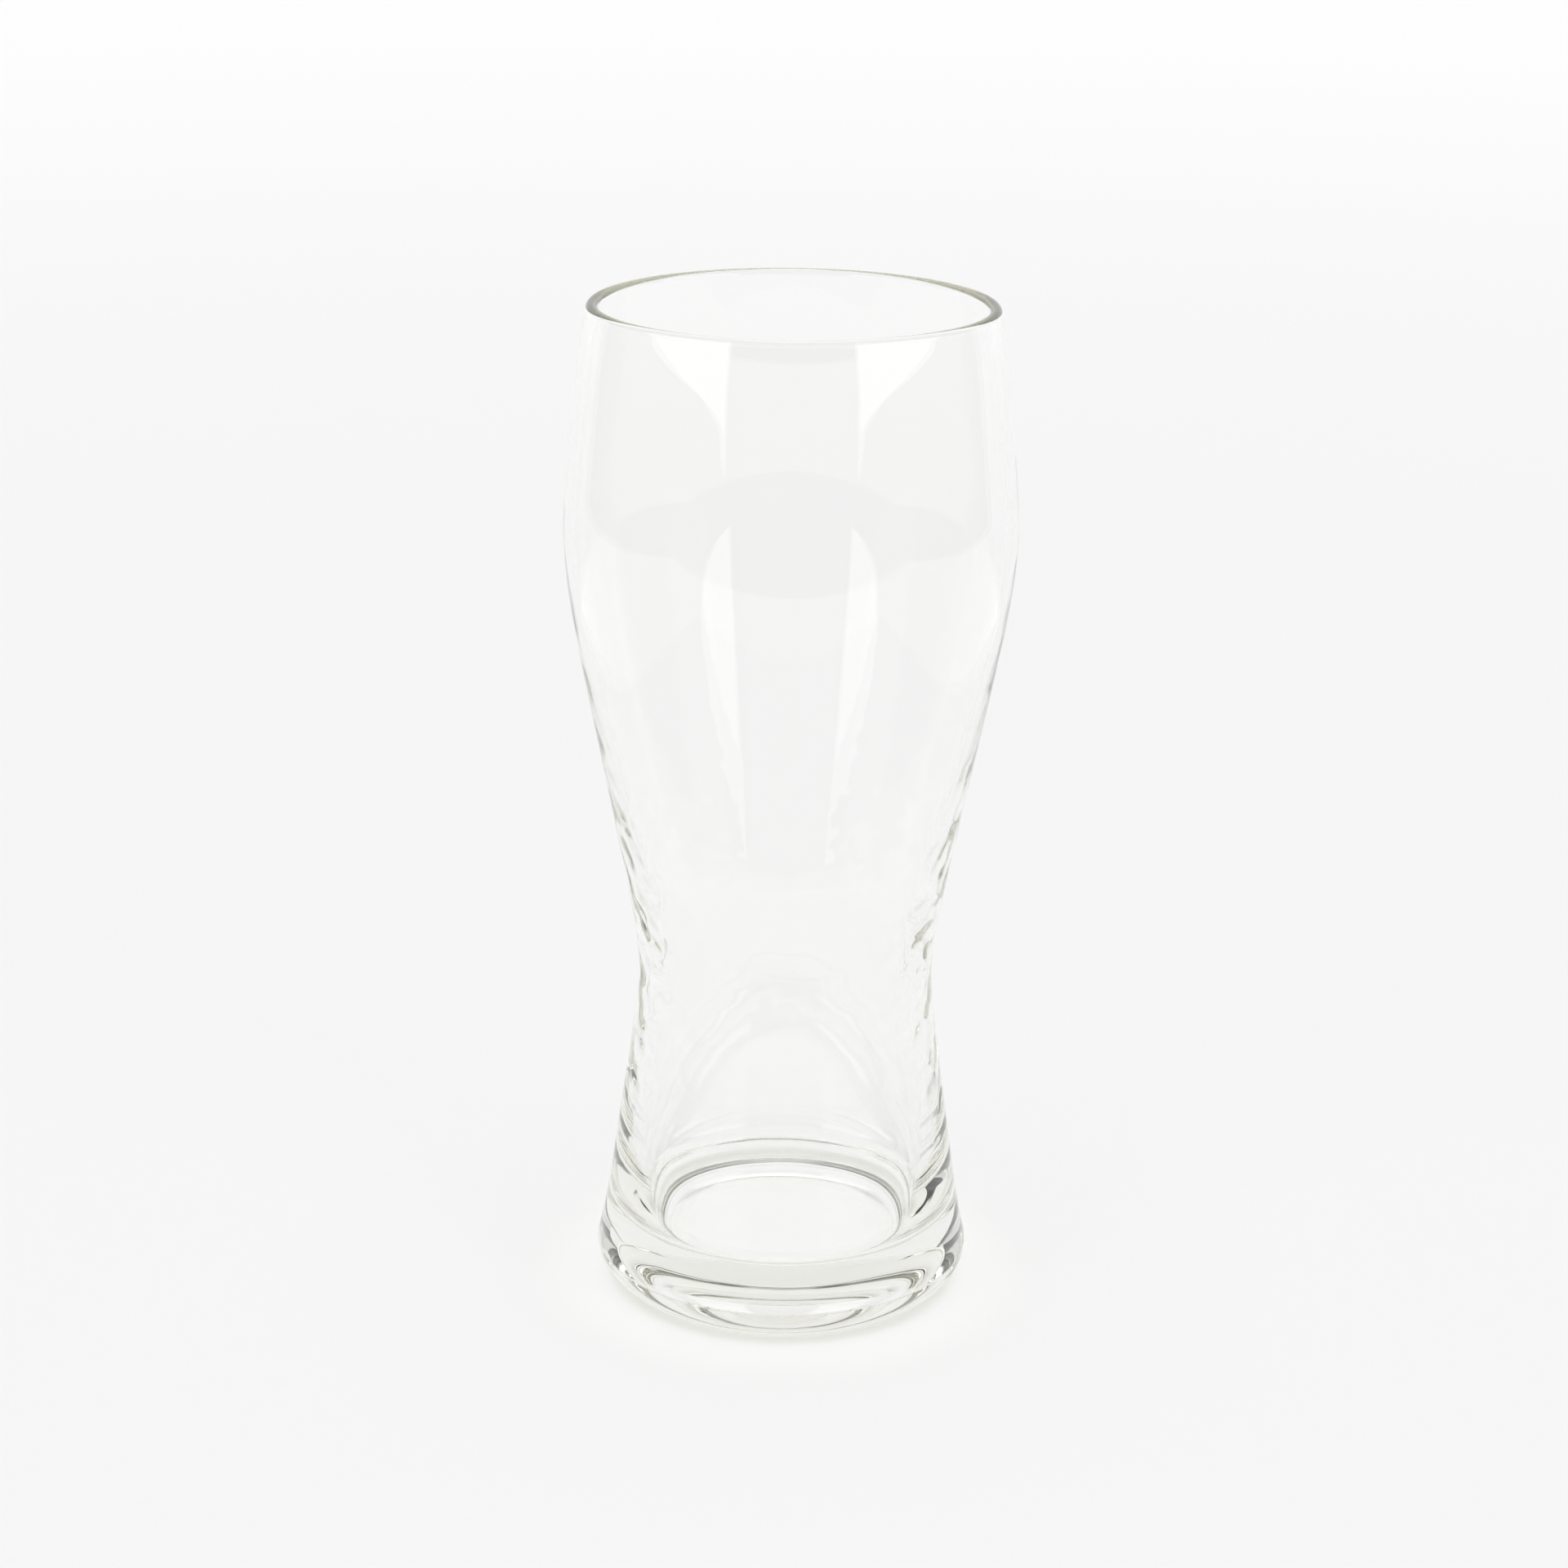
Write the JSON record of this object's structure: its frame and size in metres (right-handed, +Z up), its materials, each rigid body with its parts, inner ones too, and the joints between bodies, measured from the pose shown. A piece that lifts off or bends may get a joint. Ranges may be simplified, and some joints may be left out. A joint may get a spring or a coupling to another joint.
{
  "type": "beer glass",
  "caption": "Tall waisted drinking glass in clear glass, wide at the top, with a rounded lip, a narrow waist and a thick rounded base.",
  "frame": {"origin": "centre of the circle that the glass stands on, on the plane of the table", "axes": "+Z up along the glass's axis of revolution; X and Y are any two directions across it"},
  "size_m": [0.0854, 0.0854, 0.195],
  "materials": {
    "clear_glass": "clear colourless soda-lime glass, fire-polished, with a very faint grey-green tint in the thick base and lip"
  },
  "bodies": {
    "root": {"glass_body": "clear_glass"}
  },
  "joints": []
}
